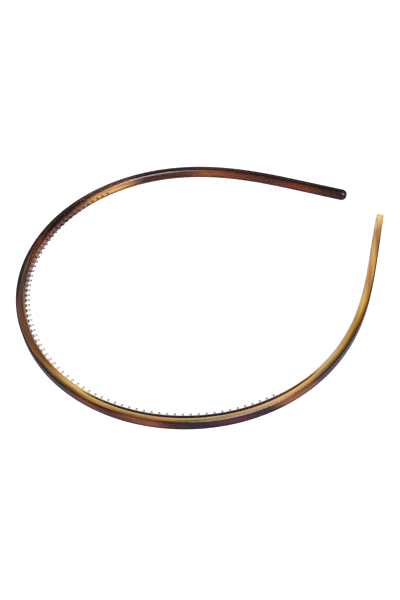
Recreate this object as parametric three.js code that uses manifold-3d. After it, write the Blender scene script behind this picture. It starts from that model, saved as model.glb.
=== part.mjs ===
// A slim tortoiseshell hair band. A springy strip of honey-clear plastic is bent into an open hoop,
// with a comb of short pegs along the inside of its crown and a thin tortoiseshell layer bonded
// round its outer face. Millimetres, +Z up. The hoop lies flat on one edge of the strip, with its
// crown towards -X and its two arms reaching towards +X, the left arm on the +Y side.
//
// Places along the strip are arc lengths s, measured from the apex of the bend: negative along the
// left arm and positive along the right arm. A place across the strip is its distance out from the
// strip's middle line, and its height above the edge that the hoop lies on.
//
// The hoop is elastic all over. It is split near its apex into a left and a right half, which turn
// about an upright hinge line at the outer face to stand for the springy opening of the arms.
import * as THREE from "three";
import { mergeVertices } from "three/addons/utils/BufferGeometryUtils.js";
import Module from "manifold-3d";

// Driving dimensions
const HEIGHT = 4.2; // the strip's height when the hoop lies flat, which is its width on the head
const THICKNESS = 3; // across the strip, both layers together
const LAYER = 0.5; // thickness of the tortoiseshell layer
const BOND_GAP = 0.05; // between the two layers
const EDGE = 0.6; // flat cut along each long corner of the strip, which stands for its rounding
const LAYER_INSET = 0.2; // how far the layer stops short of the strip's flat edges
const LEFT_LENGTH = 183.4; // from the apex to the left tip
const RIGHT_LENGTH = 190; // from the apex to the right tip
const TIP_RADIUS = HEIGHT / 2; // each tip is a full half round, seen from the side

// The bend's curvature is an even polynomial in s / BEND_SPAN, and these are its coefficients in
// radians for each BEND_SPAN of strip: 61 mm radius at the crown, 57 mm at the shoulders, then
// straightening, with the last few millimetres of each arm bent in again.
const BEND_SPAN = 190;
const BEND = [3.09, 2.3, 1.8, -34.2, 27.8];

// The comb inside the crown
const PEG_COUNT = 73;
const PEG_PITCH = 2.43;
const COMB_MIDDLE = 5.2; // where the comb's middle peg stands
const PEGS_PAST_SPLIT = 2.5; // the split lies this many pitches to the left of the middle peg
const PEG_REACH = 1.45; // from the strip's inner face to the end of the peg
const PEG_ROOT = 0.3; // how deep the peg's root is sunk in the strip
const PEG_ROOT_RADIUS = 0.55;
const PEG_NECK_RADIUS = 0.4;
const PEG_TIP_RADIUS = 0.45;
const PEG_SIDES = 6;

// Where the strip is split into halves
const SPLIT = COMB_MIDDLE - PEGS_PAST_SPLIT * PEG_PITCH;
const SPLIT_GAP = 0.3;

// How finely the curved shapes are cut
const ARM_STEP = 4; // longest step along the plain part of the arms
const BEND_STEP = 0.25; // step of the sum that lays out the bend
const TIP_STEPS = 5;

const wasm = await Module();
wasm.setup();

// The turn of the strip between the apex and s, in radians.
function turnAt(s) {
  const u = s / BEND_SPAN;
  return BEND.reduce((sum, k, i) => sum + (k * u ** (2 * i + 1)) / (2 * i + 1), 0);
}

// The strip's middle line at s, seen from above, and the direction out of the hoop there.
function placeAt(s) {
  const steps = Math.max(1, Math.ceil(Math.abs(s) / BEND_STEP));
  const step = s / steps;
  const middle = new THREE.Vector2();
  for (let i = 0; i < steps; i++) {
    const turn = turnAt((i + 0.5) * step);
    middle.x += Math.sin(turn) * step;
    middle.y -= Math.cos(turn) * step;
  }
  const turn = turnAt(s);
  return { middle, outward: new THREE.Vector2(-Math.cos(turn), -Math.sin(turn)) };
}

// A point of the strip: s along it, "out" from its middle line, z above its lower edge.
function stripPoint(s, out, z) {
  const { middle, outward } = placeAt(s);
  return new THREE.Vector3(middle.x + outward.x * out, middle.y + outward.y * out, z);
}

// Stations of one half: from the split, one between every two pegs, then even steps along the
// arm, then closing steps round the tip. "side" is -1 for the left half and 1 for the right.
// "shrink" is how far each of the strip's flat edges has drawn in at a station.
function stations(side, length) {
  const pegEnd = COMB_MIDDLE + side * (PEG_COUNT / 2) * PEG_PITCH;
  const tipStart = side * (length - TIP_RADIUS);
  const places = [SPLIT + (side * SPLIT_GAP) / 2];
  for (let s = SPLIT + side * PEG_PITCH; side * (pegEnd - s) > -0.01; s += side * PEG_PITCH)
    places.push(s);
  const last = places.at(-1);
  const armSteps = Math.ceil(Math.abs(tipStart - last) / ARM_STEP);
  for (let i = 1; i <= armSteps; i++) places.push(last + ((tipStart - last) * i) / armSteps);
  const list = places.map((s) => ({ s, shrink: 0 }));
  for (let i = 1; i <= TIP_STEPS; i++) {
    const angle = (i / (TIP_STEPS + 0.5)) * (Math.PI / 2);
    list.push({
      s: tipStart + side * TIP_RADIUS * Math.sin(angle),
      shrink: TIP_RADIUS * (1 - Math.cos(angle)),
    });
  }
  return side > 0 ? list : list.reverse();
}

// A closed solid that carries a convex outline of [out, z] points along the stations. Near a tip
// the outline is squeezed towards the strip's mid-height by the station's shrink.
function sweep(outline, list) {
  const positions = [];
  for (const { s, shrink } of list) {
    const squeeze = 1 - shrink / (HEIGHT / 2);
    for (const [out, z] of outline) {
      const height = HEIGHT / 2 + (z - HEIGHT / 2) * squeeze;
      positions.push(...stripPoint(s, out, height).toArray());
    }
  }
  const n = outline.length;
  const index = [];
  for (let ring = 0; ring < list.length - 1; ring++) {
    for (let i = 0; i < n; i++) {
      const a = ring * n + i;
      const b = ring * n + ((i + 1) % n);
      index.push(a, a + n, b, b, a + n, b + n);
    }
  }
  const end = (list.length - 1) * n;
  for (let i = 1; i < n - 1; i++) {
    index.push(0, i, i + 1);
    index.push(end, end + i + 1, end + i);
  }
  return new THREE.BufferGeometry()
    .setAttribute("position", new THREE.Float32BufferAttribute(positions, 3))
    .setIndex(index);
}

function toSolid(geometry) {
  const bare = geometry.clone().deleteAttribute("normal").deleteAttribute("uv");
  const merged = mergeVertices(bare, 1e-4);
  return new wasm.Manifold(
    new wasm.Mesh({
      numProp: 3,
      vertProperties: merged.attributes.position.array,
      triVerts: new Uint32Array(merged.index.array),
    }),
  );
}

function toGeometry(solid) {
  const mesh = solid.getMesh();
  const positions = new THREE.BufferAttribute(mesh.vertProperties, mesh.numProp);
  return new THREE.BufferGeometry()
    .setAttribute("position", positions)
    .setIndex(new THREE.BufferAttribute(mesh.triVerts, 1));
}

// One peg of the comb, pointing into the hoop at s: a stem with a slightly swollen, rounded end.
function peg(s) {
  const profile = [
    new THREE.Vector2(0, -PEG_ROOT),
    new THREE.Vector2(PEG_ROOT_RADIUS, -PEG_ROOT),
    new THREE.Vector2(PEG_NECK_RADIUS, PEG_REACH * 0.5),
    new THREE.Vector2(PEG_TIP_RADIUS, PEG_REACH - PEG_TIP_RADIUS),
    new THREE.Vector2(PEG_TIP_RADIUS * 0.6, PEG_REACH),
    new THREE.Vector2(0, PEG_REACH),
  ];
  const { outward } = placeAt(s);
  const inward = new THREE.Vector3(-outward.x, -outward.y, 0);
  const turned = new THREE.Quaternion().setFromUnitVectors(new THREE.Vector3(0, 1, 0), inward);
  const root = stripPoint(s, -THICKNESS / 2, HEIGHT / 2);
  const matrix = new THREE.Matrix4().compose(root, turned, new THREE.Vector3(1, 1, 1));
  return new THREE.LatheGeometry(profile, PEG_SIDES).applyMatrix4(matrix);
}

// The honey-clear strip of one half, with the pegs that stand on it.
function combStrip(side, list) {
  const face = THICKNESS / 2 - LAYER - BOND_GAP;
  const inside = -THICKNESS / 2;
  const outline = [
    [inside + EDGE, 0],
    [face, 0],
    [face, HEIGHT],
    [inside + EDGE, HEIGHT],
    [inside, HEIGHT - EDGE],
    [inside, EDGE],
  ];
  let solid = toSolid(sweep(outline, list));
  for (let i = 0; i < PEG_COUNT; i++) {
    const s = COMB_MIDDLE + (i - (PEG_COUNT - 1) / 2) * PEG_PITCH;
    if (side * (s - SPLIT) > 0) solid = solid.add(toSolid(peg(s)));
  }
  return toGeometry(solid);
}

// The tortoiseshell layer of one half. Its outer corners are cut back like the strip's own.
function shellLayer(list) {
  const back = THICKNESS / 2 - LAYER;
  const outline = [
    [back, LAYER_INSET],
    [THICKNESS / 2, EDGE],
    [THICKNESS / 2, HEIGHT - EDGE],
    [back, HEIGHT - LAYER_INSET],
  ];
  return sweep(outline, list);
}

const honey = new THREE.MeshStandardMaterial({ color: 0xc8973f, roughness: 0.12, metalness: 0 });
const tortoiseshell = new THREE.MeshStandardMaterial({
  color: 0x4b2a2e,
  roughness: 0.12,
  metalness: 0,
});

const hoop = new THREE.Group();
const halves = [
  { name: "left", side: -1, length: LEFT_LENGTH },
  { name: "right", side: 1, length: RIGHT_LENGTH },
];
for (const { name, side, length } of halves) {
  const list = stations(side, length);
  const strip = new THREE.Mesh(combStrip(side, list), honey.clone());
  strip.name = name + "_comb_strip";
  const layer = new THREE.Mesh(shellLayer(list), tortoiseshell.clone());
  layer.name = name + "_tortoiseshell_layer";
  hoop.add(strip, layer);
}

// The origin is the middle of the hoop's box, on the surface that it lies on.
const middle = new THREE.Box3().setFromObject(hoop).getCenter(new THREE.Vector3());
hoop.position.set(-middle.x, -middle.y, 0);

export default hoop;
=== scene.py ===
"""Looks of the slim tortoiseshell hair band. Metres, in the CAD part's frame.

Both layers are made laid out straight: x runs along the strip from the apex of the bend, y towards
the head, z up. They are then wrapped round the hoop, as the real strip is.
"""
import math

import bmesh
import bpy
import numpy as np
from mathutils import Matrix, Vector


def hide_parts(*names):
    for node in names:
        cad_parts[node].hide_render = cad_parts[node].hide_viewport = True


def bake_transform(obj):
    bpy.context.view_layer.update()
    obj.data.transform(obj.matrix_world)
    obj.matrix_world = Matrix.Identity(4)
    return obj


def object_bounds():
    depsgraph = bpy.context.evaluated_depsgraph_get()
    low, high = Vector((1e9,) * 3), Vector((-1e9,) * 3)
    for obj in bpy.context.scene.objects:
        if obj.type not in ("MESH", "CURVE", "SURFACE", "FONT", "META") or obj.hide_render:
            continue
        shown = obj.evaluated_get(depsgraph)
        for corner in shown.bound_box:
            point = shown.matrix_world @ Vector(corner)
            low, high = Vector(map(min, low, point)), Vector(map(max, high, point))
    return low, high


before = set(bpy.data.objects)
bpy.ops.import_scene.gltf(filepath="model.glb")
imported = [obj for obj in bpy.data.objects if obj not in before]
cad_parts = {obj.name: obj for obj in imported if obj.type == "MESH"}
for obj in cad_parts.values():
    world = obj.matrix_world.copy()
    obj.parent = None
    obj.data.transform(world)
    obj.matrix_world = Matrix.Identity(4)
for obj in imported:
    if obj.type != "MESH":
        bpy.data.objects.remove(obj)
cad_low, cad_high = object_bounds()

MM = 0.001

# The strip, as in the CAD part
HEIGHT = 4.2 * MM
THICKNESS = 3.0 * MM
LAYER = 0.5 * MM
LEFT_LENGTH = 183.4 * MM
RIGHT_LENGTH = 190 * MM

# Radii of its long corners, on the layer's side and on the comb's side; the CAD part has flat cuts there
EDGE = 0.8 * MM
INNER_EDGE = 1.1 * MM

# The bend's curvature is an even polynomial in s / BEND_SPAN; the coefficients are radians per BEND_SPAN
BEND_SPAN = 190 * MM
BEND = [3.09, 2.3, 1.8, -34.2, 27.8]

# The comb, and where the CAD part is split into halves, left of the comb's middle peg
PEG_COUNT = 73
PEG_PITCH = 2.43 * MM
COMB_MIDDLE = 5.2 * MM

# One peg: its reach from the strip's face, its round end, and (distance, radius) along its fillet and stem
PEG_REACH = 1.45 * MM
PEG_TIP_RADIUS = 0.45 * MM
PEG_STEM_MM = ((0.0, 0.66), (0.03, 0.58), (0.12, 0.50), (0.30, 0.44), (0.58, 0.41), (0.84, 0.42))

# How far the clear strip's surface lies inside that of the tortoiseshell layer
SKIN = 0.01 * MM

# How finely the surfaces are cut
CELL_STEPS = 4  # along and up each peg's cell, which is also how the strip's faces are cut
CORNER_STEPS = 5
ARM_STEP = 1.0 * MM
BEND_STEP = 0.25 * MM
TIP_STEPS = 10
SUPPORT = 0.08 * MM  # from a corner to the close row of points beside it
DOME_DEGREES = (4, 22, 40, 58, 76)  # the rings of a peg's round end
SHARP_DEGREES = 50  # the least angle between faces that stays sharp
SAME_PLACE = 1e-7  # points closer than this, in metres, are one
NO_LENGTH = 1e-8  # an edge shorter than this, in metres, is none

# Table and world
TABLE_GAP = 0.02 * MM
TABLE_REACH = 3.0
TABLE_PALE = 0.04
TABLE_GLOW = 1.15
WORLD_STRENGTH = 0.5

# Grains of the noises: how many to a metre along the strip, across it and up it
FACE_GRAIN = (150, 700, 700)
EDGE_GRAIN = (100, 900, 900)
DEPTH_GRAIN = (70, 300, 300)
STREAK_GRAIN = (22, 900, 900)
FLOW_GRAIN = (14, 2000, 700)
PATCH_GRAIN = (110, 420, 420)
SMOKE_GRAIN = (160, 600, 600)
FINE_FLOW_GRAIN = (50, 1500, 1500)
BUMP_GRAIN = (30, 500, 500)
BUMP_STRENGTH = 0.10
BUMP_DEPTH = 0.02 * MM

# How far the noises sway the tints along the strip, and in depth, in mm from one extreme to the other
FACE_SWAY = 5.0
EDGE_SWAY = 5.0
PATCH_SWAY = 7.0
DEPTH_SWAY = 0.9

# How far the tints lean along the strip, in mm for each mm in depth on the edges and in height on the layer
EDGE_LEAN = -9.0
PATCH_LEAN = 1.2

# Where the honey's tints and their painted shade change over, in mm
LAYER_BAND = (-0.8, 0.4)  # beside the layer, as depths from the strip's middle
COMB_BAND = (0.2, 1.0)  # beside the comb, likewise
CORNER_BAND = (0.45, 0.02)  # over the corners, as distances in from the flat edge
PEG_START = 0.01  # what stands out from the strip's face further than this is a peg
ROOT_BAND = 0.5  # on a peg, from its root
END_BAND = (0.40, 0.20)  # on a peg, back from its end

# Honey: what its volume lets through, its gloss, and the tint of its faces at places along the strip in mm
HONEY_CLEAR = (0.95, 0.89, 0.68, 1)
HONEY_DENSITY = 700
HONEY_COAT = 0.22
SHINE = (0.03, 0.03, 0.03, 1)
GOLD = (0.76, 0.72, 0.44)
HONEY_ALONG = (
    (-183, (0.80, 0.62, 0.44)),
    (-95, (0.85, 0.68, 0.48)),
    (-84, (0.95, 0.86, 0.60)),
    (-66, (0.82, 0.60, 0.42)),
    (-36, (0.92, 0.60, 0.42)),
    (-16, (0.80, 0.58, 0.44)),
    (30, (0.90, 0.80, 0.58)),
    (54, (0.84, 0.76, 0.54)),
    (74, (1.0, 0.92, 0.72)),
    (100, (1.0, 0.84, 0.54)),
    (116, GOLD),
    (178, GOLD),
    (185, (1.0, 1.0, 1.0)),
)

# The tint of the flat edges, with painted shade on the left arm and painted light and a painted highlight on
# the right, and the painted shade it is multiplied by beside the layer and beside the comb
EDGE_TINT_AND_PAINTED_LIGHT_ALONG = (
    # Painted shade: the dark brown edges of the left arm, up to about 4 mm
    (-183, (0.34, 0.22, 0.13)),
    (-146, (0.50, 0.30, 0.18)),
    (-96, (0.40, 0.28, 0.18)),
    (-84, (0.22, 0.16, 0.14)),
    (-66, (0.40, 0.34, 0.24)),
    (-48, (0.30, 0.26, 0.22)),
    (-34, (0.20, 0.17, 0.16)),
    (-22, (0.08, 0.06, 0.07)),
    (-12, (0.14, 0.08, 0.08)),
    (-4, (0.18, 0.10, 0.08)),
    (4, (0.14, 0.08, 0.06)),
    # Painted light: from here the right arm's edges turn gold, the honey's own amber painted as if lit
    # through the strip
    (10, (0.28, 0.15, 0.05)),
    (17, (0.64, 0.45, 0.17)),
    (24, GOLD),
    (38, (0.72, 0.68, 0.46)),
    (50, (0.68, 0.64, 0.60)),
    (66, (0.95, 0.82, 0.58)),
    # Painted highlight: the pinkish white at 74 and 86 mm
    (74, (1.0, 0.88, 0.78)),
    (86, (1.0, 0.92, 0.92)),
    # Painted light: the orange glow of light coming through the layer
    (98, (1.0, 0.64, 0.36)),
    (108, (0.60, 0.54, 0.50)),
    (122, (0.60, 0.47, 0.22)),
    (130, (0.50, 0.34, 0.13)),
    (140, (0.86, 0.66, 0.32)),
    (154, (0.48, 0.34, 0.18)),
    (166, (0.84, 0.72, 0.42)),
    (180, (0.50, 0.28, 0.18)),
    (183, (1.0, 1.0, 1.0)),
)
# Painted shade: the edges darken beside the layer
SHADE_BESIDE_LAYER = (
    (-110, (0.34, 0.34, 0.34)),
    (-70, (0.9, 0.9, 0.9)),
    (4, (1.0, 0.9, 0.85)),
    (14, (0.05, 0.010, 0.004)),
    (28, (0.04, 0.006, 0.003)),
    (38, (0.5, 0.24, 0.10)),
    (48, (0.12, 0.04, 0.01)),
    (58, (0.34, 0.10, 0.04)),
    (66, (0.03, 0.006, 0.003)),
    (73, (0.2, 0.12, 0.12)),
    (84, (0.28, 0.20, 0.26)),
    (102, (0.5, 0.40, 0.34)),
    (114, (0.10, 0.06, 0.06)),
    (126, (0.12, 0.08, 0.10)),
    (138, (0.24, 0.18, 0.22)),
    (146, (0.80, 0.78, 0.76)),
    (172, (0.90, 0.86, 0.80)),
    (182, (0.40, 0.34, 0.30)),
    (186, (1.0, 1.0, 1.0)),
)
# Painted shade: the edges darken beside the comb
SHADE_BESIDE_COMB = (
    (-60, (0.80, 0.74, 0.70)),
    (-22, (0.26, 0.18, 0.22)),
    (2, (0.24, 0.24, 0.34)),
    (18, (1.0, 1.0, 1.0)),
    (60, (1.0, 1.0, 1.0)),
    (72, (0.3, 0.2, 0.3)),
    (90, (1.0, 1.0, 1.0)),
)

# The tint of the pegs past their roots, at places up to PEGS_SPAN from the apex, partly painted light and
# shade, and the painted shade at their ends
PEGS_SPAN = 100.0
PEG_TINT_AND_PAINTED_LIGHT_ALONG = (
    (-100, (0.50, 0.28, 0.13)),
    (-60, (0.52, 0.30, 0.16)),
    (-36, (0.50, 0.40, 0.28)),
    (0, (0.52, 0.46, 0.38)),
    (30, (0.56, 0.50, 0.44)),
    (55, (0.46, 0.38, 0.40)),
    (100, (0.44, 0.36, 0.40)),
)
# Painted shade at the pegs' ends
PEG_END_SHADE = (0.30, 0.28, 0.27)

# Tortoiseshell: its gloss, what its volume lets through, and its tint at places along the strip in mm, with a
# painted bluish sheen on the outer face from 113 to 128 mm
TORTOISE_COAT = 0.25
TORTOISE_SMOKE = (0.45, 0.10, 0.05, 1)
TORTOISE_DENSITY = 450
NIGHT = (0.008, 0.004, 0.016)
DUSK = (0.08, 0.022, 0.03)
TORTOISE_PATCHES_AND_SHEEN_ALONG = (
    (-183, NIGHT),
    (-172, (0.08, 0.035, 0.025)),
    (-162, (0.30, 0.08, 0.05)),
    (-150, (0.12, 0.04, 0.04)),
    (-138, (0.22, 0.08, 0.06)),
    (-124, (0.38, 0.18, 0.12)),
    (-112, (0.09, 0.022, 0.03)),
    (-98, (0.08, 0.020, 0.025)),
    (-86, (0.95, 0.84, 0.74)),
    (-77, (0.95, 0.82, 0.68)),
    (-67, (0.28, 0.17, 0.14)),
    (-56, DUSK),
    (-42, (0.44, 0.20, 0.12)),
    (-26, (0.14, 0.07, 0.06)),
    (-10, DUSK),
    (10, NIGHT),
    (26, (0.05, 0.012, 0.024)),
    (37, (0.20, 0.055, 0.055)),
    (45, (0.09, 0.020, 0.030)),
    (55, (0.42, 0.18, 0.15)),
    (65, (0.05, 0.012, 0.04)),
    (73, (0.015, 0.005, 0.03)),
    (81, (0.12, 0.03, 0.09)),
    (91, (0.03, 0.010, 0.05)),
    (100, (0.40, 0.23, 0.20)),
    (107, (0.28, 0.16, 0.22)),
    # Painted sheen: bluish stops for the reflection the outer face shows at a grazing view
    (113, (0.06, 0.06, 0.16)),
    (128, (0.08, 0.08, 0.22)),
    (143, (0.14, 0.07, 0.06)),
    (160, (0.20, 0.11, 0.07)),
    (178, (0.12, 0.06, 0.05)),
    (186, (0.95, 0.90, 0.60)),
)


# ---------------------------------------------------------------- the strip laid straight

def corner(middle_y, side, radius=EDGE, start=0.0):
    """Lower corner of the section: from the flat edge, at angle start, round to the face. side is -1 or 1."""
    angles = np.linspace(start, math.pi / 2, CORNER_STEPS + 1)
    return [(middle_y + side * radius * math.sin(a), radius - radius * math.cos(a)) for a in angles]


def rows(low, high, steps):
    """Heights between two corners, with a close row next to each of them so that the face stays flat."""
    return [low + SUPPORT + (high - low - 2 * SUPPORT) * i / steps for i in range(steps + 1)]


def closed_outline(lower_right, face_right, lower_left, face_left):
    """A section of the strip that is its own mirror image in height, as [y, z] going round."""
    mirrored = [[(y, HEIGHT - z) for y, z in part] for part in (lower_right, lower_left)]
    return (
        lower_right
        + face_right
        + mirrored[0][::-1]
        + mirrored[1]
        + face_left[::-1]
        + lower_left[::-1]
    )


def strip_outline():
    """The clear strip fills the whole section, the tortoiseshell layer's part of it as well."""
    inner = THICKNESS / 2 - INNER_EDGE
    outer = -THICKNESS / 2 + EDGE + SKIN
    outline = closed_outline(
        [(inner - SUPPORT, 0.0)] + corner(inner, 1, INNER_EDGE),
        [(THICKNESS / 2, z) for z in rows(INNER_EDGE, HEIGHT - INNER_EDGE, CELL_STEPS)],
        [(outer + SUPPORT, 0.0)] + corner(outer, -1),
        [(-THICKNESS / 2 + SKIN, z) for z in rows(EDGE, HEIGHT - EDGE, CELL_STEPS)],
    )
    squeeze = (HEIGHT - 2 * SKIN) / HEIGHT
    return [(y, HEIGHT / 2 + (z - HEIGHT / 2) * squeeze) for y, z in outline]


def layer_outline():
    """The layer has the strip's own outer corners and a flat back."""
    core = THICKNESS / 2 - EDGE
    back = -THICKNESS / 2 + LAYER
    start = math.asin((-back - core) / EDGE)
    outside = corner(-core, -1, EDGE, start)
    low = outside[0][1]
    return closed_outline(
        [],
        [(back, z) for z in rows(low, HEIGHT - low, CELL_STEPS)],
        outside,
        [(-THICKNESS / 2, z) for z in rows(EDGE, HEIGHT - EDGE, CELL_STEPS)],
    )


def stations():
    """Places along the strip: CELL_STEPS to each peg, and even steps along the plain arms.

    Also gives how many of them come before the comb.
    """
    comb_half = PEG_COUNT / 2 * PEG_PITCH
    comb = np.linspace(COMB_MIDDLE - comb_half, COMB_MIDDLE + comb_half, PEG_COUNT * CELL_STEPS + 1)
    left_tip, right_tip = -LEFT_LENGTH + HEIGHT / 2, RIGHT_LENGTH - HEIGHT / 2
    left_steps = math.ceil((comb[0] - left_tip) / ARM_STEP)
    right_steps = math.ceil((right_tip - comb[-1]) / ARM_STEP)
    left = np.linspace(left_tip, comb[0], left_steps, endpoint=False)
    right = np.linspace(right_tip, comb[-1], right_steps, endpoint=False)
    return np.concatenate([left, comb, right[::-1]]), len(left)


def rings(outline, places):
    """The outline at each station, and round each tip, where it turns about the tip's middle."""
    made = []
    steps = [math.pi / 2 * i / TIP_STEPS for i in range(1, TIP_STEPS + 1)]
    left_tip = [(places[0], -a) for a in steps[::-1]]
    right_tip = [(places[-1], a) for a in steps]
    for x, angle in left_tip + [(x, 0.0) for x in places] + right_tip:
        ring = []
        for y, z in outline:
            radius = z - HEIGHT / 2
            ring.append((x + abs(radius) * math.sin(angle), y, HEIGHT / 2 + radius * math.cos(angle)))
        made.append(ring)
    return made


def swept(bm, outline, places, skip=lambda ring, i: False):
    """Adds the outline carried along the strip to bm, and returns its vertices, ring by ring."""
    grid = [[bm.verts.new(p) for p in ring] for ring in rings(outline, places)]
    n = len(outline)
    for ring in range(len(grid) - 1):
        for i in range(n):
            if skip(ring, i):
                continue
            j = (i + 1) % n
            bm.faces.new((grid[ring][i], grid[ring + 1][i], grid[ring + 1][j], grid[ring][j]))
    return grid


def peg_profile():
    """[distance from the strip's face, radius] of one peg: fillet, stem, and a slightly swollen round end."""
    tip = PEG_TIP_RADIUS
    stem = [(distance * MM, radius * MM) for distance, radius in PEG_STEM_MM]
    angles = [math.radians(d) for d in DOME_DEGREES]
    return stem + [(PEG_REACH - tip + tip * math.sin(a), tip * math.cos(a)) for a in angles]


def add_peg(bm, x, boundary):
    """One peg standing on the strip's inner face at x. boundary is the loop of vertices round its cell."""
    face, middle_z = THICKNESS / 2, HEIGHT / 2
    angles = [math.atan2(v.co.z - middle_z, v.co.x - x) for v in boundary]
    previous = boundary
    for distance, radius in peg_profile():
        ring = [
            bm.verts.new((x + radius * math.cos(a), face + distance, middle_z + radius * math.sin(a)))
            for a in angles
        ]
        for i in range(len(ring)):
            j = (i + 1) % len(ring)
            bm.faces.new((previous[i], previous[j], ring[j], ring[i]))
        previous = ring
    end = bm.verts.new((x, face + PEG_REACH, middle_z))
    for i in range(len(previous)):
        bm.faces.new((previous[i], previous[(i + 1) % len(previous)], end))


def finish_mesh(bm, name):
    """The piece made of bm: closed, smooth, with faces that stay flat between their rounded corners."""
    bmesh.ops.remove_doubles(bm, verts=bm.verts, dist=SAME_PLACE)
    bmesh.ops.dissolve_degenerate(bm, edges=bm.edges, dist=NO_LENGTH)
    bmesh.ops.delete(bm, geom=[v for v in bm.verts if not v.link_faces], context="VERTS")
    bmesh.ops.recalc_face_normals(bm, faces=bm.faces)
    mesh = bpy.data.meshes.new(name)
    bm.to_mesh(mesh)
    bm.free()
    mesh.polygons.foreach_set("use_smooth", [True] * len(mesh.polygons))
    mesh.set_sharp_from_angle(angle=math.radians(SHARP_DEGREES))
    piece = bpy.data.objects.new(name, mesh)
    bpy.context.scene.collection.objects.link(piece)
    weighted = piece.modifiers.new("flat faces stay flat", "WEIGHTED_NORMAL")
    weighted.keep_sharp = True
    return piece


def comb_strip():
    """The clear strip, with its pegs growing out of the inner face."""
    outline = strip_outline()
    places, first = stations()
    first += TIP_STEPS
    face = [i for i, (y, _) in enumerate(outline) if y > THICKNESS / 2 - SAME_PLACE]

    # The face's first point is the corner's end, so the cells that hold the pegs begin at the second
    lowest = face[1]
    highest = lowest + CELL_STEPS

    def in_cell(ring, i):
        return lowest <= i < highest and first <= ring < first + PEG_COUNT * CELL_STEPS

    bm = bmesh.new()
    grid = swept(bm, outline, places, in_cell)
    for peg in range(PEG_COUNT):
        start = first + peg * CELL_STEPS
        end = start + CELL_STEPS
        loop = [grid[k][lowest] for k in range(start, end)]
        loop += [grid[end][i] for i in range(lowest, highest)]
        loop += [grid[k][highest] for k in range(end, start, -1)]
        loop += [grid[start][i] for i in range(highest, lowest, -1)]
        x = COMB_MIDDLE + (peg - (PEG_COUNT - 1) / 2) * PEG_PITCH
        add_peg(bm, x, loop)
    return finish_mesh(bm, "comb_strip")


def tortoiseshell_layer():
    bm = bmesh.new()
    swept(bm, layer_outline(), stations()[0])
    return finish_mesh(bm, "tortoiseshell_layer")


# ---------------------------------------------------------------- wrapping it round the hoop

def turn_at(s):
    """The turn of the strip between the apex and s, in radians."""
    u = s / BEND_SPAN
    return sum(k * u ** (2 * i + 1) / (2 * i + 1) for i, k in enumerate(BEND))


def middle_line():
    """Arc lengths, and the strip's middle line there, seen from above, in the part's frame."""
    apex = round((RIGHT_LENGTH + 2 * MM) / BEND_STEP)
    s = np.arange(-apex, apex + 1) * BEND_STEP
    half = turn_at((s[1:] + s[:-1]) / 2)
    x = np.concatenate([[0], np.cumsum(np.sin(half) * BEND_STEP)])
    y = np.concatenate([[0], np.cumsum(-np.cos(half) * BEND_STEP)])
    return s, x - x[apex] + cad_low.x + THICKNESS / 2, y - y[apex]


def wrap(piece):
    """Bends the straight strip into the hoop, and keeps each vertex's place on it for the materials."""
    flat = np.array([v.co for v in piece.data.vertices])
    laid = piece.data.attributes.new("laid", "FLOAT_VECTOR", "POINT")
    laid.data.foreach_set("vector", flat.astype(np.float32).ravel())
    s, x, y = middle_line()
    turn = turn_at(flat[:, 0])
    bent = np.stack([
        np.interp(flat[:, 0], s, x) + np.cos(turn) * flat[:, 1],
        np.interp(flat[:, 0], s, y) + np.sin(turn) * flat[:, 1],
        flat[:, 2],
    ], axis=1)
    piece.data.vertices.foreach_set("co", bent.astype(np.float32).ravel())
    piece.data.update()


# ---------------------------------------------------------------- materials

def new_material(name):
    material = bpy.data.materials.new(name)
    material.use_nodes = True
    tree = material.node_tree
    shader = next(n for n in tree.nodes if n.type == "BSDF_PRINCIPLED")
    output = next(n for n in tree.nodes if n.type == "OUTPUT_MATERIAL")
    return material, tree, shader, output


def add(tree, kind, settings=None, **inputs):
    """A new node. An input is a value or the socket that feeds it, and _ in its name stands for a space."""
    node = tree.nodes.new(kind)
    for name, value in (settings or {}).items():
        setattr(node, name, value)
    for name, value in inputs.items():
        socket = node.inputs[name.replace("_", " ")]
        if isinstance(value, bpy.types.NodeSocket):
            tree.links.new(value, socket)
        else:
            socket.default_value = value
    return node


def laid_out(tree, stretch):
    """The place on the straight strip, in metres, times stretch."""
    place = add(tree, "ShaderNodeAttribute", {"attribute_name": "laid"})
    product = {"operation": "MULTIPLY"}
    stretched = add(tree, "ShaderNodeVectorMath", product, Vector=place.outputs["Vector"])
    stretched.inputs[1].default_value = stretch
    return stretched.outputs["Vector"]


def maths(tree, operation, *values):
    node = tree.nodes.new("ShaderNodeMath")
    node.operation = operation
    for socket, value in zip(node.inputs, values):
        if isinstance(value, bpy.types.NodeSocket):
            tree.links.new(value, socket)
        else:
            socket.default_value = value
    return node.outputs[0]


def noise(tree, grain, detail=3.0):
    """Noise from 0 to 1. grain is one of the grains above."""
    place = laid_out(tree, grain)
    node = add(tree, "ShaderNodeTexNoise", Vector=place, Scale=1.0, Detail=detail, Roughness=0.55)
    return node.outputs["Fac"]


def swayed(tree, value, sway, grain):
    """The value, moved up and down by noise by half of sway at most."""
    return maths(tree, "MULTIPLY_ADD", maths(tree, "SUBTRACT", noise(tree, grain), 0.5), sway, value)


def share_of(tree, value, low, high, most=1.0):
    """How far value is from low to high, as 0 to most, clamped and eased."""
    return add(
        tree, "ShaderNodeMapRange", {"interpolation_type": "SMOOTHSTEP"},
        Value=value, From_Min=low, From_Max=high, To_Max=most,
    ).outputs["Result"]


def ramp(tree, value, low, high, stops):
    """Colours at listed places, smoothly joined; value, low, high and the places are in one unit."""
    share = add(tree, "ShaderNodeMapRange", Value=value, From_Min=low, From_Max=high).outputs["Result"]
    node = add(tree, "ShaderNodeValToRGB", Fac=share)
    node.color_ramp.interpolation = "EASE"
    elements = node.color_ramp.elements
    for i, (place, colour) in enumerate(stops):
        position = (place - low) / (high - low)
        if i < 2:
            elements[i].position = position
        else:
            elements.new(position)
        elements[i].color = (*colour, 1)
    return node.outputs["Color"]


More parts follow.
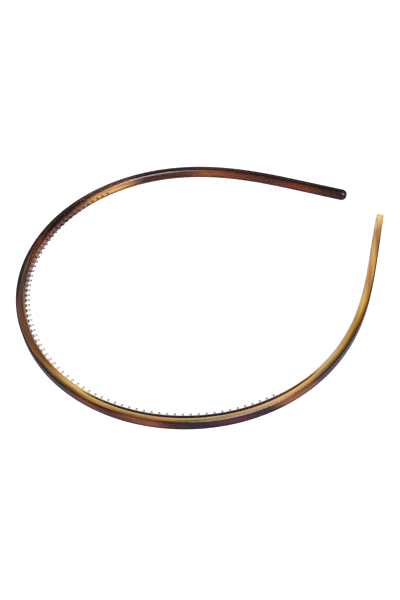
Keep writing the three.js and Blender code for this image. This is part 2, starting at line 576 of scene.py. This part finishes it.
def mix(tree, blend, share, first, second):
    node = add(tree, "ShaderNodeMix", {"data_type": "RGBA", "blend_type": blend})
    for socket, value in ((node.inputs[0], share), (node.inputs[6], first), (node.inputs[7], second)):
        if isinstance(value, bpy.types.NodeSocket):
            tree.links.new(value, socket)
        else:
            socket.default_value = value if isinstance(value, float) else (*value, 1)
    return node.outputs[2]


def millimetres(tree):
    """The place on the straight strip: along it, towards the head, and up."""
    place = add(tree, "ShaderNodeSeparateXYZ", Vector=laid_out(tree, (1 / MM, 1 / MM, 1 / MM)))
    return [place.outputs[i] for i in range(3)]


def tint_along(tree, along, stops):
    """The stops' colour at a place along the strip, in mm."""
    return ramp(tree, along, -LEFT_LENGTH / MM, RIGHT_LENGTH / MM, stops)


def uneven(tree, shader):
    """A faint waviness, as on a moulded and polished surface."""
    height = noise(tree, BUMP_GRAIN, 1.0)
    bump = add(tree, "ShaderNodeBump", Strength=BUMP_STRENGTH, Distance=BUMP_DEPTH, Height=height)
    for name in ("Normal", "Coat Normal"):
        tree.links.new(bump.outputs[0], shader.inputs[name])


def dress(shader, values):
    """Sets the shader's constant inputs."""
    for name, value in values.items():
        shader.inputs[name].default_value = value


def fill(tree, output, colour, density):
    """A volume that takes away all but the colour."""
    absorb = add(tree, "ShaderNodeVolumeAbsorption", Color=colour, Density=density)
    tree.links.new(absorb.outputs[0], output.inputs["Volume"])


def honey_edges(tree, x, y, along):
    """The flat edges: dark brown on the left arm, a painted shade; gold on the right, the honey's amber with
    painted light through the strip and a painted highlight; darker beside the layer and the comb, a painted
    shade.
    """
    depth = swayed(tree, y, DEPTH_SWAY, DEPTH_GRAIN)
    leaning = maths(tree, "MULTIPLY_ADD", y, EDGE_LEAN, swayed(tree, x, EDGE_SWAY, EDGE_GRAIN))
    off_layer = share_of(tree, depth, *LAYER_BAND)
    # Painted shade beside the layer and, below, beside the comb
    shade_beside_layer = mix(tree, "MIX", off_layer, tint_along(tree, along, SHADE_BESIDE_LAYER), (1, 1, 1))
    edges = mix(tree, "MULTIPLY", 1.0, tint_along(tree, leaning, EDGE_TINT_AND_PAINTED_LIGHT_ALONG), shade_beside_layer)
    comb_shade_share = share_of(tree, depth, *COMB_BAND)
    return mix(tree, "MULTIPLY", comb_shade_share, edges, tint_along(tree, along, SHADE_BESIDE_COMB))


def honey_pegs(tree, y, along, faces):
    """Each peg is honey at its root, clearer along its stem with tints that are partly painted light and
    shade, and has a painted shade at its end.
    """
    face = THICKNESS / MM / 2
    reach = face + PEG_REACH / MM
    past_root = share_of(tree, y, face, face + ROOT_BAND)
    stem = mix(tree, "MIX", past_root, faces, ramp(tree, along, -PEGS_SPAN, PEGS_SPAN, PEG_TINT_AND_PAINTED_LIGHT_ALONG))
    # Painted shade at the peg's end
    shaded_end = share_of(tree, y, reach - END_BAND[0], reach - END_BAND[1])
    return mix(tree, "MULTIPLY", shaded_end, stem, PEG_END_SHADE)


def moulded(tree, body):
    """Gold and orange beside each other in long streaks, and the long thin flow lines of the moulding."""
    streaks = share_of(tree, noise(tree, STREAK_GRAIN, 2.0), 0.43, 0.60)
    streak_tint = mix(tree, "MIX", streaks, (1.0, 1.0, 0.62), (0.94, 0.66, 0.62))
    body = mix(tree, "MIX", 0.7, body, mix(tree, "MULTIPLY", 1.0, body, streak_tint))
    lines = share_of(tree, noise(tree, FLOW_GRAIN, 1.0), 0.48, 0.60, 0.6)
    return mix(tree, "MULTIPLY", lines, body, (0.50, 0.40, 0.30))


def honey_material():
    material, tree, shader, output = new_material("honey_plastic")
    x, y, z = millimetres(tree)
    along = swayed(tree, x, FACE_SWAY, FACE_GRAIN)

    # The faces are honey all along, and turn into the edges over the rounded corners
    faces = tint_along(tree, along, HONEY_ALONG)
    middle_z = HEIGHT / MM / 2
    from_middle = maths(tree, "ABSOLUTE", maths(tree, "SUBTRACT", z, middle_z))
    on_edges = share_of(tree, from_middle, middle_z - CORNER_BAND[0], middle_z - CORNER_BAND[1])
    body = moulded(tree, mix(tree, "MIX", on_edges, faces, honey_edges(tree, x, y, along)))

    on_pegs = maths(tree, "GREATER_THAN", y, THICKNESS / MM / 2 + PEG_START)
    colour = mix(tree, "MIX", on_pegs, body, honey_pegs(tree, y, along, faces))
    tree.links.new(colour, shader.inputs["Base Color"])

    uneven(tree, shader)
    dress(shader, {
        "Roughness": 0.12,
        "IOR": 1.49,
        "Specular Tint": SHINE,
        "Transmission Weight": 1.0,
        "Coat Weight": HONEY_COAT,
        "Coat Roughness": 0.28,
    })
    fill(tree, output, HONEY_CLEAR, HONEY_DENSITY)
    return material


def tortoiseshell_material():
    material, tree, shader, output = new_material("tortoiseshell")
    x, _, z = millimetres(tree)
    # The patches, with the painted sheen from 113 to 128 mm
    leaning = maths(tree, "MULTIPLY_ADD", z, PATCH_LEAN, swayed(tree, x, PATCH_SWAY, PATCH_GRAIN))
    patches_and_sheen = tint_along(tree, leaning, TORTOISE_PATCHES_AND_SHEEN_ALONG)

    # Smoke inside each patch, and fine flow lines
    smoke = share_of(tree, noise(tree, SMOKE_GRAIN, 2.0), 0.42, 0.72, 0.6)
    smoked = mix(tree, "MULTIPLY", smoke, patches_and_sheen, (0.42, 0.28, 0.34))
    lines = share_of(tree, noise(tree, FINE_FLOW_GRAIN, 1.0), 0.50, 0.68, 0.5)
    tree.links.new(mix(tree, "MULTIPLY", lines, smoked, (0.6, 0.5, 0.5)), shader.inputs["Base Color"])

    # An IOR of 1 under the coat: light passes on into the honey without bending, as in bonded plastic
    uneven(tree, shader)
    dress(shader, {
        "Roughness": 0.05,
        "IOR": 1.0,
        "Transmission Weight": 1.0,
        "Coat Weight": TORTOISE_COAT,
        "Coat Roughness": 0.30,
    })
    fill(tree, output, TORTOISE_SMOKE, TORTOISE_DENSITY)
    return material


# ---------------------------------------------------------------- camera, table and light

def aim(thing, target):
    thing.rotation_mode = "QUATERNION"
    thing.rotation_quaternion = (Vector(target) - thing.location).to_track_quat("-Z", "Y")


def outwards(azimuth, elevation):
    """The direction from the object; azimuth 0 is in front, 90 on the right, both in degrees."""
    a, e = math.radians(azimuth), math.radians(elevation)
    return Vector((math.sin(a) * math.cos(e), -math.cos(a) * math.cos(e), math.sin(e)))


def camera():
    """Above the hoop, in front and a little to the left. The shifts put it in its place in the picture."""
    target = Vector((8.17 * MM, -7.87 * MM, 0.15 * MM))
    azimuth, elevation, distance = -28.5, 45.84, 240.7 * MM
    data = bpy.data.cameras.new("camera")
    data.lens = 40.78
    data.sensor_width = 36
    data.shift_x = -0.0768
    data.shift_y = -0.0393
    data.clip_start = 0.005
    data.clip_end = 20
    seen = bpy.data.objects.new("camera", data)
    bpy.context.scene.collection.objects.link(seen)
    seen.location = target + outwards(azimuth, elevation) * distance
    aim(seen, target)
    bpy.context.scene.camera = seen


def table():
    bm = bmesh.new()
    corners = ((-1, -1), (1, -1), (1, 1), (-1, 1))
    bm.faces.new([bm.verts.new((x * TABLE_REACH, y * TABLE_REACH, -TABLE_GAP)) for x, y in corners])
    mesh = bpy.data.meshes.new("table")
    bm.to_mesh(mesh)
    bm.free()
    floor = bpy.data.objects.new("table", mesh)
    bpy.context.scene.collection.objects.link(floor)
    material, _, shader, _ = new_material("pale_table")
    dress(shader, {
        "Base Color": (TABLE_PALE, TABLE_PALE, TABLE_PALE, 1),
        "Roughness": 0.8,
        "Specular IOR Level": 0.0,
        "Emission Color": (1, 1, 1.06, 1),
        "Emission Strength": TABLE_GLOW,
    })
    mesh.materials.append(material)


def softbox(name, azimuth, elevation, size, radiance, colour):
    """A lit rectangle one metre away. It faces the object and isn't seen through the clear plastic."""
    data = bpy.data.lights.new(name, "AREA")
    data.shape = "RECTANGLE"
    data.size, data.size_y = size
    data.energy = radiance * math.pi * size[0] * size[1]
    data.color = colour
    lamp = bpy.data.objects.new(name, data)
    bpy.context.scene.collection.objects.link(lamp)
    lamp.location = outwards(azimuth, elevation)
    lamp.visible_transmission = False
    aim(lamp, (0, 0, 0))


def lights():
    world = bpy.data.worlds.new("studio")
    world.use_nodes = True
    background = next(n for n in world.node_tree.nodes if n.type == "BACKGROUND")
    background.inputs["Color"].default_value = (0.9, 0.9, 1.0, 1)
    background.inputs["Strength"].default_value = WORLD_STRENGTH
    bpy.context.scene.world = world
    # A strong box in front, right of the camera, and a faint one behind on the left
    softbox("front", 1, 42, (0.76, 0.9), 40, (1.0, 0.90, 1.0))
    softbox("left_back", -117, 36, (1.1, 0.8), 1.4, (1, 1, 1))


camera()
table()
lights()
bpy.context.scene.view_settings.view_transform = "Standard"

# Each piece is made straight, then wrapped, and takes the place of the CAD part's two halves
for piece, slot, material in (
    (comb_strip(), "honey_plastic", honey_material()),
    (tortoiseshell_layer(), "tortoiseshell", tortoiseshell_material()),
):
    piece.data.materials.append(material)
    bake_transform(piece)
    wrap(piece)
    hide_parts("left_" + piece.name, "right_" + piece.name)
